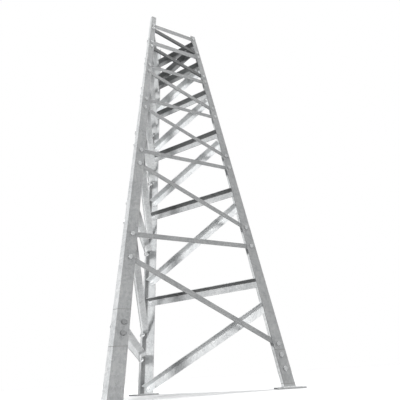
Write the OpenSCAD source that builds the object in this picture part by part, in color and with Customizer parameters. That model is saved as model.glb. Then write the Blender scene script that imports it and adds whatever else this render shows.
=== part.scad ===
// Self-supporting lattice tower: three folded legs at the corners of a triangle, each side
// laced with angle bars, one tie and one slanting brace to a bay. It is bolted together and
// hot-dip galvanised. It stands on z = 0, centred on the box round its feet, with its front
// side facing -Y.

/* [Tower] */
// Height of the left and back legs above the ground
tower_h = 3078; // [2600:1:3800]
// Distance at the ground between the corners where the sides would meet
base_side = 1251; // [1040:1:1500]
// Distance at the top between the corners where the sides would meet
top_side = 459; // [400:1:600]

/* [Legs] */
// Width of a leg's two flanges at the ground
leg_w_base = 84; // [70:1:104]
// Width of a leg's two flanges at the top
leg_w_top = 42; // [40:1:52]
// Width of a leg's back, between its flanges, at the ground
back_w_base = 37; // [30:1:46]
// Width of a leg's back at the top
back_w_top = 16; // [14:1:22]
// How much shorter than the others the right leg is
right_leg_cut = 84; // [0:1:88]
// Thickness of the leg's steel
leg_t = 5; // [3:0.5:6]

/* [Bays] */
// Height of the lowest front tie above the ground
first_tie = 890; // [740:1:1060]
// Height of the left and back legs above the highest front tie
head_room = 126; // [90:1:160]
// Height of each bay as a part of the bay below it
bay_ratio = 0.779; // [0.7:0.002:0.9]
// Gap along a leg between a tie's bolt and the next brace's bolt, as a part of the bay
brace_gap = 0.2; // [0.16:0.01:0.24]
// How much lower the left side's bars meet the back leg than the left leg, as a part of the bay
left_drop = 0.15; // [0:0.01:0.2]
// Place of the bolt line on a leg's flange, as a part of the flange's width
gauge = 0.55; // [0.54:0.01:0.62]

/* [Bars] */
// Width of the front bars' outer flange, which lies on the legs
front_bar_w = 32; // [28:1:40]
// Width of the outer flange of the front's two highest ties
top_tie_w = 48; // [36:1:50]
// Width of the other sides' bars' outer flange
bar_w = 44; // [36:1:53]
// Width of the bars' inner flange, which points into the tower
bar_in_w = 48; // [40:1:58]
// Angle by which the inner flange leans away from square, so that the bar is a little open
bar_open = 20; // [0:1:25]
// Thickness of the bars' steel
bar_t = 4; // [3:0.5:4.5]
// Length of a bar past its bolt
bar_end = 16; // [12:1:20]
// Gap between a bar and the leg's flange it lies on
seat_gap = 0.3; // [0.2:0.1:0.5]
// Gap between a bar's cut end and the steel beside it
end_gap = 1; // [0.8:0.1:2]
// Least gap between the lowest bars' outer flange and the base plates
brace_foot = 6; // [3:1:30]

/* [Feet] */
// Length of a side of the square base plates
foot_w = 170; // [150:1:200]
// Thickness of the base plates
foot_t = 8; // [6:1:12]
// Distance between a foot's anchor bolt holes, along the plate's sides
anchor_pitch = 120; // [110:1:125]
// Diameter of the anchor bolt holes
anchor_d = 18; // [14:1:22]

/* [Hidden] */
LEGS = ["left", "right", "back"];
SIDES = ["front", "right", "left"];
TIES = 6;
// Levels are counted in bays from the lowest front tie. Each side's lowest tie lies a third
// of a bay from the next side's, so that the ties climb round the tower like steps.
LOWEST_TIE = [0, -1 / 3, -2 / 3];
LOWEST_BRACE = [0, 0, 1];

STEEL = [0.72, 0.73, 0.74];
BAR_STEEL = [0.66, 0.67, 0.68];
PLATE_STEEL = [0.6, 0.61, 0.62];

bay_count = TIES - 1;
first_bay = (tower_h - head_room - first_tie) * (1 - bay_ratio) / (1 - pow(bay_ratio, bay_count));
batter = atan((base_side - top_side) / (2 * sqrt(3)) / tower_h);
side_lean = (base_side - top_side) / 2 / tower_h;
foot_centre = (back_w_base + leg_w_base / 2) * cos(30);
bar_seat = leg_t + seat_gap;
in_depth = bar_seat + bar_in_w * cos(bar_open) + bar_t * sin(bar_open);

// Height above the ground of a level, counted in bays from the lowest front tie.
function level_h(level) = first_tie + first_bay * (1 - pow(bay_ratio, level)) / (1 - bay_ratio);

// Distance between two corners, distance from the axis to a corner, and a flange's width.
function side_at(h) = base_side + (top_side - base_side) * h / tower_h;
function corner_r(h) = side_at(h) / sqrt(3);
function leg_w_at(h) = leg_w_base + (leg_w_top - leg_w_base) * h / tower_h;
function back_w_at(h) = back_w_base + (back_w_top - back_w_base) * h / tower_h;

// Distance from the middle of a side to the bend between a leg's flange and its back, and to
// the bolt line. The bends lie as far from the corner as the back is wide.
function bend_x(h) = side_at(h) / 2 - back_w_at(h);
function bolt_x(h) = bend_x(h) - gauge * leg_w_at(h);

// Width of a side's bars' outer flange, and height of their inner flange's edge above the bolts.
function outer_w(s) = s == 0 ? front_bar_w : bar_w;
function in_height(w) = w / 2 + bar_in_w * sin(bar_open);

// Length past its bolt that a bar may have, before it meets the leg's back, its other flange or
// the bars on that: depth is how far it reaches in from the side's face, half_w is its height
// there above the line of its bolts.
function reach(h, depth, half_w, slope) =
    let (
        bolt_to_bend = gauge * leg_w_at(h),
        to_back = bolt_to_bend - (2 * leg_t - bar_seat) / sqrt(3) - end_gap,
        to_bars = bolt_to_bend + back_w_at(h) - (depth + 2 * leg_t) / sqrt(3)
            - (bar_seat - leg_t + bar_t + end_gap) / sin(60)
    )
    (min(to_back, to_bars) - half_w * (sin(abs(slope)) + side_lean * cos(slope))) / cos(slope);

// The tower's axis lies behind the middle of the box round the three base plates.
foot_r = corner_r(0) - foot_centre;
back_edge = foot_r + foot_w / 2;
front_edge = foot_r * sin(30) + foot_w / 2 * (sin(60) + cos(60));
axis_y = (front_edge - back_edge) / 2;

// How much taller than its width a brace of the highest bay is at its bolt, because it slants.
slant = 1.05;

// A leg and a foot are made at the front and turned to their corner.
module at_corner(i) {
    translate([0, axis_y, 0]) rotate([0, 0, 120 * i - 60]) children();
}

// A side's bars are drawn on its outer face: +X to the right, +Y into the tower, +Z up the face.
// The last side is mirrored, so that the braces of all three lean down to the same two legs.
module on_side(s) {
    translate([0, axis_y, 0])
        rotate([0, 0, 120 * s])
            translate([0, -side_at(0) / (2 * sqrt(3)), 0])
                rotate([-batter, 0, 0])
                    mirror([s == 2 ? 1 : 0, 0, 0]) children();
}

// A leg is one folded sheet: a flange in each of the two sides that meet at it, and a back across
// the corner between them.
module leg(i) {
    back_r = [for (h = [0, tower_h]) corner_r(h) - back_w_at(h) * cos(30)];
    back_lean = atan((back_r[0] - back_r[1]) / tower_h);
    ends = [-leg_w_base, tower_h + leg_w_base];
    length = tower_h - foot_t - (i == 1 ? right_leg_cut : 0);
    color(STEEL)
        intersection() {
            at_corner(i)
                translate([0, 0, foot_t + length / 2])
                    cube([base_side, 2 * base_side, length], center = true);
            union() {
                at_corner(i)
                    translate([0, -back_r[0], 0])
                        rotate([-back_lean, 0, 0])
                            sheet([for (h = ends)
                                      [-back_w_at(h) / 2, back_w_at(h) / 2, h / cos(back_lean)]]);
                at_corner(i) {
                    flange(ends, 60, 1);
                    flange(ends, -60, -1);
                }
            }
        }
}

// One of a leg's flanges, drawn in the side that lies at that angle from the leg.
module flange(ends, turn, way) {
    rotate([0, 0, turn])
        translate([0, -side_at(0) / (2 * sqrt(3)), 0])
            rotate([-batter, 0, 0])
                sheet([
                    for (h = ends)
                        [-way * bend_x(h), -way * (bend_x(h) - leg_w_at(h)), h / cos(batter)]
                ]);
}

// A flat tapered sheet, leg_t thick towards +Y, between two ends given as [x, x, height].
module sheet(ends) {
    translate([0, leg_t, 0])
        rotate([90, 0, 0])
            linear_extrude(leg_t)
                polygon([
                    [ends[0][0], ends[0][2]], [ends[0][1], ends[0][2]],
                    [ends[1][1], ends[1][2]], [ends[1][0], ends[1][2]]
                ]);
}

module foot(i) {
    color(PLATE_STEEL)
        at_corner(i)
            translate([0, -foot_r, foot_t / 2])
                difference() {
                    cube([foot_w, foot_w, foot_t], center = true);
                    for (x = [-1, 1], y = [-1, 1])
                        translate([x * anchor_pitch / 2, y * anchor_pitch / 2, 0])
                            cylinder(h = 2 * foot_t, d = anchor_d, center = true, $fn = 48);
                }
}

// One angle bar from bolt to bolt, from height h0 at the left leg to h1 at the right leg. Its
// inner flange runs along the top edge. The outer flange has snipped corners, and the inner
// flange is cut short, so that both ends stay clear of the leg's back. w is the outer flange's
// width.
module angle_bar(w, h0, h1) {
    from = [-bolt_x(h0), h0 / cos(batter)];
    to = [bolt_x(h1), h1 / cos(batter)];
    length = norm(to - from);
    slope = atan2(to.y - from.y, to.x - from.x);
    outer = [for (h = [h0, h1]) min(bar_end, reach(h, bar_seat + bar_t, w / 4, slope))];
    inner = [
        min(bar_end, reach(h0, in_depth, in_height(w), slope)),
        min(bar_end, reach(h1, in_depth, in_height(w), slope))
    ];
    translate([from.x, bar_seat, from.y])
        rotate([0, -slope, 0])
            union() {
                translate([0, bar_t, 0])
                    rotate([90, 0, 0])
                        linear_extrude(bar_t) polygon(snipped(w, -outer[0], length + outer[1]));
                translate([-inner[0], 0, w / 2])
                    rotate([bar_open, 0, 0])
                        translate([0, 0, -bar_t])
                            cube([inner[0] + length + inner[1], bar_in_w, bar_t]);
            }
}

// Outline of an outer flange with its corners cut off at 45 degrees.
function snipped(w, x0, x1) =
    let (h = w / 2, tip = w / 4, snip = h - tip)
    [
        [x0 + snip, h], [x0, tip], [x0, -tip], [x0 + snip, -h],
        [x1 - snip, -h], [x1, -tip], [x1, tip], [x1 - snip, h]
    ];

// Ties and braces are counted from the ground. The front's two highest ties are the widest.
function tie_w(s, i) = s == 0 && i > TIES - 2 ? top_tie_w : outer_w(s);

// Bars end at least this high, so that they stay clear of the plates and of the lowest brace.
function lowest_brace(w) = foot_t + brace_foot + w / 2;
function lowest_tie(w) = lowest_brace(bar_w) + in_height(bar_w) + end_gap + w / 2;

// Heights of a bar's end on the side's left leg and on its right leg.
function left_end(level) = level_h(level);
function right_end(s, level, lowest) = max(level_h(level - (s == 2 ? left_drop : 0)), lowest);

// Least height between the bolts of a tie and of the brace beside it.
function bolt_room(s, i) = tie_w(s, i) / 2 + outer_w(s) / 2 * slant + end_gap;

module tie(s, i) {
    level = LOWEST_TIE[s] + i - 1;
    w = tie_w(s, i);
    color(BAR_STEEL) on_side(s) angle_bar(w, left_end(level), right_end(s, level, lowest_tie(w)));
}

module brace(s, i) {
    above = i + LOWEST_BRACE[s];
    upper = LOWEST_TIE[s] + above - 1;
    w = outer_w(s);
    h0 = min(left_end(upper - brace_gap), left_end(upper) - bolt_room(s, above));
    tie_below = above > 1
        ? right_end(s, upper - 1, lowest_tie(tie_w(s, above - 1))) + bolt_room(s, above - 1)
        : 0;
    h1 = max(right_end(s, upper - 1 + brace_gap, lowest_brace(w)), tie_below);
    color(BAR_STEEL) on_side(s) angle_bar(w, h0, h1);
}

for (i = [0:2]) {
    leg(i);
    foot(i);
}
for (s = [0:2], i = [1:TIES])
    tie(s, i);
for (s = [0:2], i = [1:TIES - LOWEST_BRACE[s]])
    brace(s, i);
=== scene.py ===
from math import atan, cos, pi, radians, sin, sqrt, tan

import bmesh
import bpy
from mathutils import Matrix, Vector


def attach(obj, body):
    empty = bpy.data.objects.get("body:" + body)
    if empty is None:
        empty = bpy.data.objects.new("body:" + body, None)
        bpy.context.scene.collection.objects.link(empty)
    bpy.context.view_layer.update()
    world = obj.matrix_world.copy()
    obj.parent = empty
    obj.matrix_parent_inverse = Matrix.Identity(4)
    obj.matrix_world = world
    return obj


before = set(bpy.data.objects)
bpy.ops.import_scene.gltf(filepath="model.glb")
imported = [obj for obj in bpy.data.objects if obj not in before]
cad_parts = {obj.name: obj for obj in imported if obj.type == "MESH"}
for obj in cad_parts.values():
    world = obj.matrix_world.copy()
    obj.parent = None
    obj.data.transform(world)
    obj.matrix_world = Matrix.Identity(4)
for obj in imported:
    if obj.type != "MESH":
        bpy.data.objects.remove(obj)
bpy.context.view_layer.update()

# ---------------------------------------------------------------- the tower's own sizes, in metres
TOWER_H, BASE_SIDE, TOP_SIDE = 3.078, 1.251, 0.459
LEG_W_BASE, LEG_W_TOP, BACK_W_BASE, BACK_W_TOP, LEG_T = 0.084, 0.042, 0.037, 0.016, 0.005
FIRST_TIE, HEAD_ROOM, BAY_RATIO, BRACE_GAP, GAUGE = 0.890, 0.126, 0.779, 0.2, 0.55
BAR_WIDTHS, BAR_T, SEAT_GAP, BRACE_FOOT = (0.032, 0.044, 0.044), 0.004, 0.0003, 0.006
FOOT_W, FOOT_T = 0.170, 0.008
TIES, BAYS = 6, 5
LEFT_DROP = 0.15
SIDES = ("front", "right", "left")
LOWEST_TIE = (0.0, -1 / 3, -2 / 3)
LOWEST_BRACE = (0, 0, 1)

BATTER = atan((BASE_SIDE - TOP_SIDE) / (2 * sqrt(3)) / TOWER_H)
FIRST_BAY = (TOWER_H - HEAD_ROOM - FIRST_TIE) * (1 - BAY_RATIO) / (1 - BAY_RATIO**BAYS)
FOOT_R = BASE_SIDE / sqrt(3) - (BACK_W_BASE + LEG_W_BASE / 2) * cos(radians(30))
AXIS_Y = (FOOT_R * 0.5 + FOOT_W / 2 * (sin(pi / 3) + 0.5) - FOOT_R - FOOT_W / 2) / 2


def level_h(level):
    return FIRST_TIE + FIRST_BAY * (1 - BAY_RATIO**level) / (1 - BAY_RATIO)


def side_at(h):
    return BASE_SIDE + (TOP_SIDE - BASE_SIDE) * h / TOWER_H


def leg_w_at(h):
    return LEG_W_BASE + (LEG_W_TOP - LEG_W_BASE) * h / TOWER_H


def back_w_at(h):
    return BACK_W_BASE + (BACK_W_TOP - BACK_W_BASE) * h / TOWER_H


def bend_x(h):
    return side_at(h) / 2 - back_w_at(h)


def bolt_x(h):
    return bend_x(h) - GAUGE * leg_w_at(h)


def on_side(s):
    """Places what is drawn on a side's outer face: +X right, +Y into the tower, +Z up the face."""
    place = Matrix.Translation((0, AXIS_Y, 0)) @ Matrix.Rotation(radians(120 * s), 4, "Z")
    place = place @ Matrix.Translation((0, -BASE_SIDE / (2 * sqrt(3)), 0))
    place = place @ Matrix.Rotation(-BATTER, 4, "X")
    return place @ Matrix.Scale(-1, 4, (1, 0, 0)) if s == 2 else place


def at_corner(i):
    """Places what is drawn at the front on leg i, as the CAD does."""
    return Matrix.Translation((0, AXIS_Y, 0)) @ Matrix.Rotation(radians(120 * i - 60), 4, "Z")


# ---------------------------------------------------------------- materials
def new_node(tree, kind, **settings):
    node = tree.nodes.new(kind)
    for key, value in settings.items():
        if key in node.inputs.keys():
            node.inputs[key].default_value = value
        else:
            setattr(node, key, value)
    return node


def math_node(tree, op, a, b=None, c=None):
    node = tree.nodes.new("ShaderNodeMath")
    node.operation = op
    for socket, value in zip(node.inputs, (a, b, c)):
        if value is None:
            continue
        if isinstance(value, (int, float)):
            socket.default_value = value
        else:
            tree.links.new(value, socket)
    return node.outputs[0]


def map_range(tree, value, low, high, at_low, at_high):
    """The value carried from low..high to at_low..at_high, held at both ends."""
    node = new_node(tree, "ShaderNodeMapRange")
    for key, number in (("From Min", low), ("From Max", high), ("To Min", at_low), ("To Max", at_high)):
        node.inputs[key].default_value = number
    tree.links.new(value, node.inputs["Value"])
    return node.outputs[0]


def voronoi(tree, coords, scale):
    """Flat cells: three random values for each."""
    cells = new_node(tree, "ShaderNodeTexVoronoi", Scale=scale)
    tree.links.new(coords, cells.inputs["Vector"])
    split = new_node(tree, "ShaderNodeSeparateColor")
    tree.links.new(cells.outputs["Color"], split.inputs[0])
    return split.outputs


def noise(tree, coords, scale, detail=3.0, stretch=None, rough=0.55):
    if stretch:
        mapping = new_node(tree, "ShaderNodeMapping")
        mapping.inputs["Scale"].default_value = stretch
        tree.links.new(coords, mapping.inputs["Vector"])
        coords = mapping.outputs[0]
    node = new_node(tree, "ShaderNodeTexNoise", Scale=scale, Detail=detail, Roughness=rough)
    tree.links.new(coords, node.inputs["Vector"])
    return node.outputs["Fac"]


def outwardness(tree, facing):
    """How far a face is turned the way that one of the three sides faces: 1 is fully."""
    parts = []
    for s in range(3):
        dot = new_node(tree, "ShaderNodeVectorMath", operation="DOT_PRODUCT")
        dot.inputs[1].default_value = (sin(radians(120 * s)), -cos(radians(120 * s)), 0)
        tree.links.new(facing, dot.inputs[0])
        parts.append(dot.outputs["Value"])
    return math_node(tree, "MAXIMUM", math_node(tree, "MAXIMUM", parts[0], parts[1]), parts[2])


INNER_LIGHT_GAIN = 2.3           # how much lighter the faces not turned outwards are painted: painted light
GRIME = (0.17, 0.165, 0.155, 1)
SEAM_HALF = 0.0012      # half a seam's height, in metres
OUTWARD = (0.62, 0.86)  # outwardness below which a face gets all its painted light, and from which it gets none
LEVEL = (-0.99, -0.90)  # a face's Z direction: fully level underside, and no longer level
CLOUD, STREAK, SPECK = 0.34, 0.26, 0.22


def galvanised(name, tone, spangle=75.0, spread=0.16, rough=0.46, metallic=0.3,
               seams=(), inner=INNER_LIGHT_GAIN, under=1.0):
    """Hot-dip zinc: crystal spangle, cloudy patches, run-off streaks and grime.

    seams are heights with a dark line. inner is how much lighter (painted light) the faces that are
    not turned outwards are. under is how much darker (painted shade) the level undersides are.
    """
    mat = bpy.data.materials.new(name)
    mat.use_nodes = True
    tree = mat.node_tree
    link = tree.links.new
    bsdf = tree.nodes["Principled BSDF"]
    coords = new_node(tree, "ShaderNodeTexCoord").outputs["Object"]

    # Spangle: flat crystals, each with its own tone, with edges bent by a little noise.
    warp = new_node(tree, "ShaderNodeTexNoise", Scale=60.0, Detail=2.0)
    link(coords, warp.inputs["Vector"])
    bent = new_node(tree, "ShaderNodeMix", data_type="VECTOR")
    bent.inputs["Factor"].default_value = 0.012
    link(coords, bent.inputs[4])
    link(warp.outputs["Color"], bent.inputs[5])
    crystal = voronoi(tree, bent.outputs[1], spangle)
    grain = voronoi(tree, bent.outputs[1], spangle * 3.1)

    cloud = noise(tree, coords, 7.0, 4.0)
    streak = noise(tree, coords, 1.0, 4.0, (95.0, 95.0, 5.0))
    speck = noise(tree, coords, 420.0, 2.0)
    grime = noise(tree, coords, 24.0, 5.0, rough=0.7)

    def centred(value, weight):
        return math_node(tree, "MULTIPLY_ADD", value, weight, -0.5 * weight)

    level = math_node(tree, "ADD", centred(crystal[0], spread), centred(grain[1], spread * 0.6))
    for value, weight in ((cloud, CLOUD), (streak, STREAK), (speck, SPECK)):
        level = math_node(tree, "ADD", level, centred(value, weight))
    level = math_node(tree, "ADD", level, 0.5)

    ramp = new_node(tree, "ShaderNodeValToRGB")
    lo, hi = ramp.color_ramp.elements
    lo.position, hi.position = 0.22, 0.80
    lo.color = (tone * 0.62, tone * 0.635, tone * 0.65, 1)
    hi.color = (tone * 1.30, tone * 1.30, tone * 1.29, 1)
    middle = ramp.color_ramp.elements.new(0.5)
    middle.color = (tone * 0.985, tone, tone * 1.005, 1)
    link(level, ramp.inputs[0])

    # Grime: small dark spots where the noise is at its highest.
    mark = map_range(tree, grime, 0.60, 0.72, 0.0, 0.38)

    # Seams: where one length of leg ends on the next, a thin dark line runs round it.
    if seams:
        height = new_node(tree, "ShaderNodeSeparateXYZ")
        link(coords, height.inputs[0])
    for z in seams:
        away = math_node(tree, "ABSOLUTE", math_node(tree, "SUBTRACT", height.outputs[2], z))
        line = math_node(tree, "MULTIPLY", math_node(tree, "LESS_THAN", away, SEAM_HALF), 0.8)
        mark = math_node(tree, "MAXIMUM", mark, line)
    dirty = new_node(tree, "ShaderNodeMix", data_type="RGBA")
    dirty.inputs[7].default_value = GRIME
    link(mark, dirty.inputs["Factor"])

    # Painted light: faces not turned outwards are painted lighter than those turned outwards.
    facing = new_node(tree, "ShaderNodeTexCoord").outputs["Normal"]
    lighter = map_range(tree, outwardness(tree, facing), *OUTWARD, inner, 1.0)

    # Painted shade: undersides that lie level are painted darker.
    if under != 1.0:
        down = new_node(tree, "ShaderNodeSeparateXYZ")
        link(facing, down.inputs[0])
        underside_shade = map_range(tree, down.outputs[2], *LEVEL, under, 1.0)
        lighter = math_node(tree, "MULTIPLY", lighter, underside_shade)
    toned = new_node(tree, "ShaderNodeVectorMath", operation="SCALE")
    link(ramp.outputs[0], toned.inputs[0])
    link(lighter, toned.inputs["Scale"])
    link(toned.outputs[0], dirty.inputs[6])
    link(dirty.outputs[2], bsdf.inputs["Base Color"])

    bsdf.inputs["Metallic"].default_value = metallic
    gloss = math_node(tree, "MULTIPLY_ADD", crystal[2], 0.16, rough - 0.08)
    link(math_node(tree, "MULTIPLY_ADD", cloud, 0.12, gloss), bsdf.inputs["Roughness"])

    relief = math_node(tree, "MULTIPLY", speck, 0.5)
    for value, weight in ((cloud, 1.5), (crystal[1], 0.3), (mark, -0.8)):
        relief = math_node(tree, "MULTIPLY_ADD", value, weight, relief)
    bump = new_node(tree, "ShaderNodeBump", Strength=0.35, Distance=0.0006)
    link(relief, bump.inputs["Height"])
    link(bump.outputs[0], bsdf.inputs["Normal"])
    return mat


SEAMS = {"left": (0.258, 0.445), "right": (0.028, 0.217), "back": ()}
LEG = {leg: galvanised("leg_steel_" + leg, 0.295, seams=at) for leg, at in SEAMS.items()}
BAR = galvanised("bar_steel", 0.27, spangle=90.0)
# For the right braces: faces not turned outwards painted lighter still, painted light.
LIT_INSIDE_BAR = galvanised("lit_inside_bar_steel", 0.27, spangle=90.0, spread=0.10, inner=3.15)
# For the right ties: their level undersides painted dark, painted shade.
UNDERSIDE_SHADE_BAR = galvanised("underside_shade_bar_steel", 0.27, spangle=90.0, under=0.2)
# Toned dark: painted shade for the highest bars.
TOP_SHADE_BAR = galvanised("top_shade_bar_steel", 0.12, spangle=90.0, rough=0.6)
PLATE = galvanised("plate_steel", 0.28, spangle=60.0, rough=0.55)
BOLT = galvanised("bolt_steel", 0.48, spangle=260.0, spread=0.10, rough=0.32, metallic=0.5)
# Toned darker than the other bolts; used on the left splice.
DARK_BOLT = galvanised("dark_bolt_steel", 0.22, spangle=260.0, spread=0.20, rough=0.5)
# Washers toned dark: painted shade round each bolt head.
WASHER = galvanised("washer_steel", 0.15, spangle=260.0, spread=0.20, rough=0.6)
WELD = galvanised("weld_zinc", 0.28, spangle=300.0, spread=0.30, rough=0.55)

# The highest bars are painted darker than the rest: painted shade.
TOP_SHADE_BAR_NAMES = ("tie_right_5", "tie_right_6", "brace_right_6", "brace_front_5", "brace_front_6")


def bar_zinc(name):
    if name in TOP_SHADE_BAR_NAMES:
        return TOP_SHADE_BAR
    if name.startswith("brace_right_"):
        return LIT_INSIDE_BAR
    if name.startswith("tie_right_"):
        return UNDERSIDE_SHADE_BAR
    return BAR


def soften(obj, width, segments=2, angle=40):
    bevel = obj.modifiers.new("edges", "BEVEL")
    bevel.width = width
    bevel.segments = segments
    bevel.limit_method = "ANGLE"
    bevel.angle_limit = radians(angle)
    bevel.harden_normals = False


def dress(name, mat):
    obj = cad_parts[name]
    for k in range(max(1, len(obj.data.materials))):
        if k < len(obj.material_slots):
            obj.material_slots[k].link = "OBJECT"
            obj.material_slots[k].material = mat
        else:
            obj.data.materials.append(mat)


EDGE, PLATE_EDGE, BAR_EDGE = 0.0009, 0.0012, 0.0008
BEND = 0.0052           # the round of a leg's two bends

for name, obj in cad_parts.items():
    if name.startswith("leg_"):
        dress(name, LEG[name[4:]])
        soften(obj, EDGE, angle=75)
        soften(obj, BEND, segments=5, angle=50)
    elif name.startswith("foot_"):
        dress(name, PLATE)
        soften(obj, PLATE_EDGE)
    else:
        dress(name, bar_zinc(name))
        soften(obj, BAR_EDGE)


# ---------------------------------------------------------------- added pieces
def add_piece(name, bm, mats):
    mesh = bpy.data.meshes.new(name)
    bmesh.ops.recalc_face_normals(bm, faces=bm.faces)
    bm.to_mesh(mesh)
    bm.free()
    for mat in mats:
        mesh.materials.append(mat)
    obj = bpy.data.objects.new(name, mesh)
    bpy.context.scene.collection.objects.link(obj)
    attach(obj, "root")
    return obj


def about_y(bm, place, radius, y, angle):
    return bm.verts.new(place @ Vector((radius * cos(angle), y, radius * sin(angle))))


def lathe(bm, place, outline, n, slot=0):
    """A closed form turned about local Y through (radius, y) points."""
    rings = [[about_y(bm, place, r, y, 2 * pi * k / n) for k in range(n)] for r, y in outline]
    made = [bm.faces.new(rings[0]), bm.faces.new(rings[-1][::-1])]
    for a, b in zip(rings, rings[1:]):
        for k in range(n):
            made.append(bm.faces.new((a[k], a[(k + 1) % n], b[(k + 1) % n], b[k])))
    for part in made:
        part.material_index = slot


def hexagon(bm, place, across, y0, y1, chamfer, turn):
    """A hexagonal prism whose outer end has its corners turned down by a cone."""
    flat, corner, n = across / 2, across / sqrt(3), 24
    way = 1 if y1 > y0 else -1
    low, high, top = [], [], []
    for k in range(n):
        angle = turn + 2 * pi * k / n
        radius = flat / cos((2 * pi * k / n) % (pi / 3) - pi / 6)
        turned_down = way * chamfer * (radius - flat) / (corner - flat)
        low.append(about_y(bm, place, radius, y0, angle))
        high.append(about_y(bm, place, radius, y1 - turned_down, angle))
        top.append(about_y(bm, place, flat * 0.93, y1, angle))
    for k in range(n):
        m = (k + 1) % n
        bm.faces.new((low[k], low[m], high[m], high[k]))
        bm.faces.new((high[k], high[m], top[m], top[k]))
    bm.faces.new(top)
    bm.faces.new(low[::-1])


# A bolt's proportions, as shares of its size.
ACROSS_FLATS, HEAD_T, NUT_T, CHAMFER = 1.5, 0.62, 0.6, 0.09
WASHER_T, WASHER_R, WASHER_RIM_R = 0.12, 0.9, 0.94
CREST_R, ROOT_R, TIP_R, PITCH, TIP, TIP_CONE = 0.5, 0.46, 0.38, 0.11, 0.32, 0.06


def bolt(bm, place, size, grip, turn):
    """A hex bolt through the steel from y = 0 to y = grip: head and washer outside, nut inside."""
    across, chamfer, washer = ACROSS_FLATS * size, CHAMFER * size, WASHER_T * size
    rim = WASHER_RIM_R * size
    outline = ((WASHER_R * size, 0), (rim, -0.3 * washer), (rim, -washer), (CREST_R * size, -washer))
    lathe(bm, place, outline, 28, slot=1)
    hexagon(bm, place, across, -washer, -washer - HEAD_T * size, chamfer, turn)
    end = grip + NUT_T * size
    hexagon(bm, place, across, grip, end, chamfer, turn + 0.35)
    tip, root, pitch = end + TIP * size, ROOT_R * size, PITCH * size
    outline = [(root, end)]
    y = end
    while y + pitch < tip - 0.08 * size:
        outline += [(CREST_R * size, y + pitch / 2), (root, y + pitch)]
        y += pitch
    outline += [(root, tip - TIP_CONE * size), (TIP_R * size, tip)]
    lathe(bm, place, outline, 20)


LOW_BOLT, HIGH_BOLT, HIGH_FROM = 0.016, 0.0135, 1.9


def bolt_place(face, way, h):
    """On a side's left (way -1) or right (way 1) leg, on the bolts' line, h above the ground."""
    return face @ Matrix.Translation((way * bolt_x(h), 0, h / cos(BATTER)))


turn = 0.2
for s, side in enumerate(SIDES):
    bm = bmesh.new()
    ends = []
    drop = LEFT_DROP if side == "left" else 0
    lowest = FOOT_T + BRACE_FOOT + BAR_WIDTHS[s] / 2
    for i in range(TIES):
        level = LOWEST_TIE[s] + i
        ends += [(-1, level_h(level)), (1, max(level_h(level - drop), lowest))]
    for i in range(TIES - LOWEST_BRACE[s]):
        upper = LOWEST_TIE[s] + i + LOWEST_BRACE[s]
        foot_h = level_h(upper - 1 + BRACE_GAP - drop)
        ends += [(-1, level_h(upper - BRACE_GAP)), (1, max(foot_h, lowest))]
    for way, h in ends:
        size = LOW_BOLT if h < HIGH_FROM else HIGH_BOLT
        bolt(bm, bolt_place(on_side(s), way, h), size, LEG_T + SEAT_GAP + BAR_T, turn)
        turn += 1.13
    add_piece("bolts_" + side, bm, (BOLT, WASHER))


SPLICE_NEAR = LEG_T + 0.0002
SPLICE_FAR = SPLICE_NEAR + 0.005
SPLICE_EDGES = (0.93, 0.12)     # its two edges, as shares of the flange from its bend
BOX_FACES = ((0, 1, 3, 2), (4, 5, 7, 6), (0, 1, 5, 4), (2, 3, 7, 6), (0, 2, 6, 4), (1, 3, 7, 5))


def splice(name, s, way, span, heights, head):
    """The plate behind a leg's flange where two lengths of leg meet, and its bolts."""
    face = on_side(s)
    bm = bmesh.new()
    corners = []
    for h in span:
        for share in SPLICE_EDGES:
            for y in (SPLICE_NEAR, SPLICE_FAR):
                x = way * (bend_x(h) - share * leg_w_at(h))
                corners.append(bm.verts.new(face @ Vector((x, y, h / cos(BATTER)))))
    for quad in BOX_FACES:
        bm.faces.new([corners[k] for k in quad])
    soften(add_piece(name, bm, (PLATE,)), PLATE_EDGE)
    bm = bmesh.new()
    for n, h in enumerate(heights):
        bolt(bm, bolt_place(face, way, h), LOW_BOLT, SPLICE_FAR, 0.5 + n)
    add_piece(name + "_bolts", bm, (head, WASHER))


splice("splice_left_front", 0, -1, (0.245, 0.458), (0.322, 0.378), DARK_BOLT)
splice("splice_right_front", 0, 1, (0.045, 0.224), (0.109, 0.187), BOLT)
splice("splice_right_side", 1, -1, (0.045, 0.224), (0.109, 0.187), BOLT)


COS30, SIN30 = cos(radians(30)), sin(radians(30))
BEND_R = 0.009          # the round of the weld's path at a leg's bends
WELD_SIZE, WELD_STEP = 0.0046, 0.0022
WELD_SINK, WELD_BITE, WELD_BACK = 0.0002, 0.0006, 0.0009
WELD_STEPS = 4          # steps from the weld's toe on the plate to its top on the leg


def leg_outline():
    """The leg's outline at the ground, as (x, y) about its corner."""
    half = [Vector((0, BACK_W_BASE * COS30))]
    bend = Vector((BACK_W_BASE / 2, BACK_W_BASE * COS30))
    along = Vector((SIN30, COS30))
    out = Vector((COS30, -SIN30))
    centre = bend + along * BEND_R * tan(radians(30)) - out * BEND_R
    for a in (-90, -75, -60, -45, -30):
        half.append(centre + BEND_R * Vector((cos(radians(a)), sin(radians(a)))))
    half.append(bend + along * LEG_W_BASE)
    half.append(bend + along * LEG_W_BASE - out * LEG_T)
    half.append(bend + Vector((-SIN30, COS30)) * LEG_T / COS30)
    return half + [Vector((-v.x, v.y)) for v in half[:0:-1]]


def spaced(points, step):
    """A closed path's points with others put between them, about a step apart."""
    out = []
    for a, b in zip(points, points[1:] + points[:1]):
        count = max(1, round((b - a).length / step))
        out += [a.lerp(b, j / count) for j in range(count)]
    return out


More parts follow.
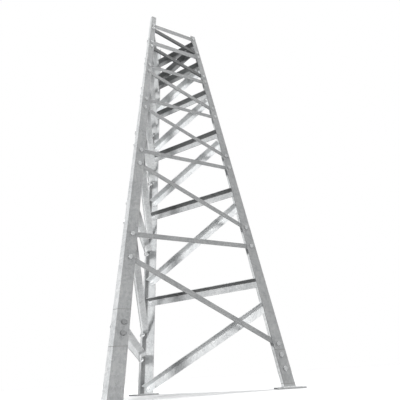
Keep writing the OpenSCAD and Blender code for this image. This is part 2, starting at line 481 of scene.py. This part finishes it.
def weld(i, leg):
    """A rippled fillet round leg i where it stands on its plate."""
    place = at_corner(i)
    corner = Vector((0, -side_at(FOOT_T) / sqrt(3)))
    path = spaced(leg_outline(), WELD_STEP)
    n = len(path)
    bm = bmesh.new()
    rows = []
    for k in range(n):
        way = (path[(k + 1) % n] - path[k - 1]).normalized()
        out = Vector((way.y, -way.x))
        size = WELD_SIZE * (1 + 0.13 * sin(k * 1.9) + 0.07 * sin(k * 0.37 + i))
        section = []            # (distance out from the leg, height over the plate)
        for step in range(WELD_STEPS + 1):
            a = radians(90 * step / WELD_STEPS)
            section.append((size * cos(a) - WELD_BITE, size * sin(a) - WELD_SINK))
        section += [(-WELD_BACK, size * 0.5), (-WELD_BACK, -WELD_SINK)]
        points = [(corner + path[k] + out * push, FOOT_T + rise) for push, rise in section]
        rows.append([bm.verts.new(place @ Vector((p.x, p.y, z))) for p, z in points])
    for a, b in zip(rows, rows[1:] + rows[:1]):
        for j in range(len(a)):
            m = (j + 1) % len(a)
            bm.faces.new((a[j], a[m], b[m], b[j]))
    add_piece("weld_" + leg, bm, (WELD,))


for i, leg in enumerate(("left", "right", "back")):
    weld(i, leg)


# ---------------------------------------------------------------- floor, light and camera
FLOOR_HALF, FLOOR_Z = 30.0, -0.0005
FLOOR_GREY = (0.90, 0.90, 0.90, 1)

bm = bmesh.new()
around = ((-1, -1), (1, -1), (1, 1), (-1, 1))
bm.faces.new([bm.verts.new((x * FLOOR_HALF, y * FLOOR_HALF, FLOOR_Z)) for x, y in around])
mesh = bpy.data.meshes.new("floor")
bm.to_mesh(mesh)
bm.free()
floor = bpy.data.objects.new("floor", mesh)
bpy.context.scene.collection.objects.link(floor)
floor_mat = bpy.data.materials.new("floor")
floor_mat.use_nodes = True
shader = floor_mat.node_tree.nodes["Principled BSDF"]
shader.inputs["Base Color"].default_value = FLOOR_GREY
shader.inputs["Roughness"].default_value = 0.9
mesh.materials.append(floor_mat)
floor.visible_diffuse = False
floor.visible_glossy = False
floor.visible_shadow = False

# The camera sees white. All else is lit by a room whose light grows from the ground to just
# above the horizon and falls off again to the top.
ROOM_LIGHT = ((0.0, 0.03), (0.47, 0.04), (0.53, 0.60), (0.75, 0.42), (1.0, 0.30))

world = bpy.data.worlds.new("studio")
bpy.context.scene.world = world
world.use_nodes = True
tree = world.node_tree
back = tree.nodes["Background"]
back.inputs["Color"].default_value = (1, 1, 1, 1)
back.inputs["Strength"].default_value = 1.0
tint = new_node(tree, "ShaderNodeValToRGB")
while len(tint.color_ramp.elements) < len(ROOM_LIGHT):
    tint.color_ramp.elements.new(0.5)
for stop, (at, value) in zip(tint.color_ramp.elements, ROOM_LIGHT):
    stop.position = at
    stop.color = (value * 0.98, value, value * 1.02, 1)
up_axis = new_node(tree, "ShaderNodeSeparateXYZ")
tree.links.new(new_node(tree, "ShaderNodeTexCoord").outputs["Generated"], up_axis.inputs[0])
tree.links.new(math_node(tree, "MULTIPLY_ADD", up_axis.outputs[2], 0.5, 0.5), tint.inputs[0])
dim = new_node(tree, "ShaderNodeBackground", Strength=1.0)
tree.links.new(tint.outputs[0], dim.inputs["Color"])
path = new_node(tree, "ShaderNodeLightPath")
mix = new_node(tree, "ShaderNodeMixShader")
tree.links.new(path.outputs["Is Camera Ray"], mix.inputs[0])
tree.links.new(dim.outputs[0], mix.inputs[1])
tree.links.new(back.outputs[0], mix.inputs[2])
tree.links.new(mix.outputs[0], tree.nodes["World Output"].inputs["Surface"])


def sun(name, strength, angle, azimuth, elevation):
    """Light that comes from that azimuth (0 from -Y, 90 from +X) and elevation, in degrees."""
    data = bpy.data.lights.new(name, "SUN")
    data.energy = strength
    data.angle = radians(angle)
    obj = bpy.data.objects.new(name, data)
    bpy.context.scene.collection.objects.link(obj)
    a, e = radians(azimuth), radians(elevation)
    source = Vector((sin(a) * cos(e), -cos(a) * cos(e), sin(e)))
    obj.rotation_euler = source.to_track_quat("Z", "Y").to_euler()


sun("key", 2.35, 9, -45, 9)
sun("bounce", 3.4, 12, 78, -30)
sun("back", 1.0, 40, 190, 25)
sun("low", 0.85, 14, 0, 2)
sun("top", 2.4, 40, 30, 84)

CAM_PLACE = (-1.2287, -2.4779 + AXIS_Y, 0.0889)
CAM_RIGHT, CAM_AHEAD = (0.88645, -0.45914, -0.05834), (0.43044, 0.77151, 0.46850)
CAM_LENS, CAM_SHIFT = 35.315, (0.025, -0.075)

cam_data = bpy.data.cameras.new("camera")
cam = bpy.data.objects.new("camera", cam_data)
bpy.context.scene.collection.objects.link(cam)
ahead = Vector(CAM_AHEAD).normalized()
up = Vector(CAM_RIGHT).normalized().cross(ahead).normalized()
right = ahead.cross(up)
aim = Matrix((right, up, -ahead)).transposed().to_4x4()
cam.matrix_world = Matrix.Translation(CAM_PLACE) @ aim
cam_data.sensor_width = 36.0
cam_data.lens = CAM_LENS
cam_data.shift_x, cam_data.shift_y = CAM_SHIFT
cam_data.clip_start = 0.02
cam_data.clip_end = 200.0
bpy.context.scene.camera = cam
bpy.context.scene.view_settings.view_transform = "Standard"
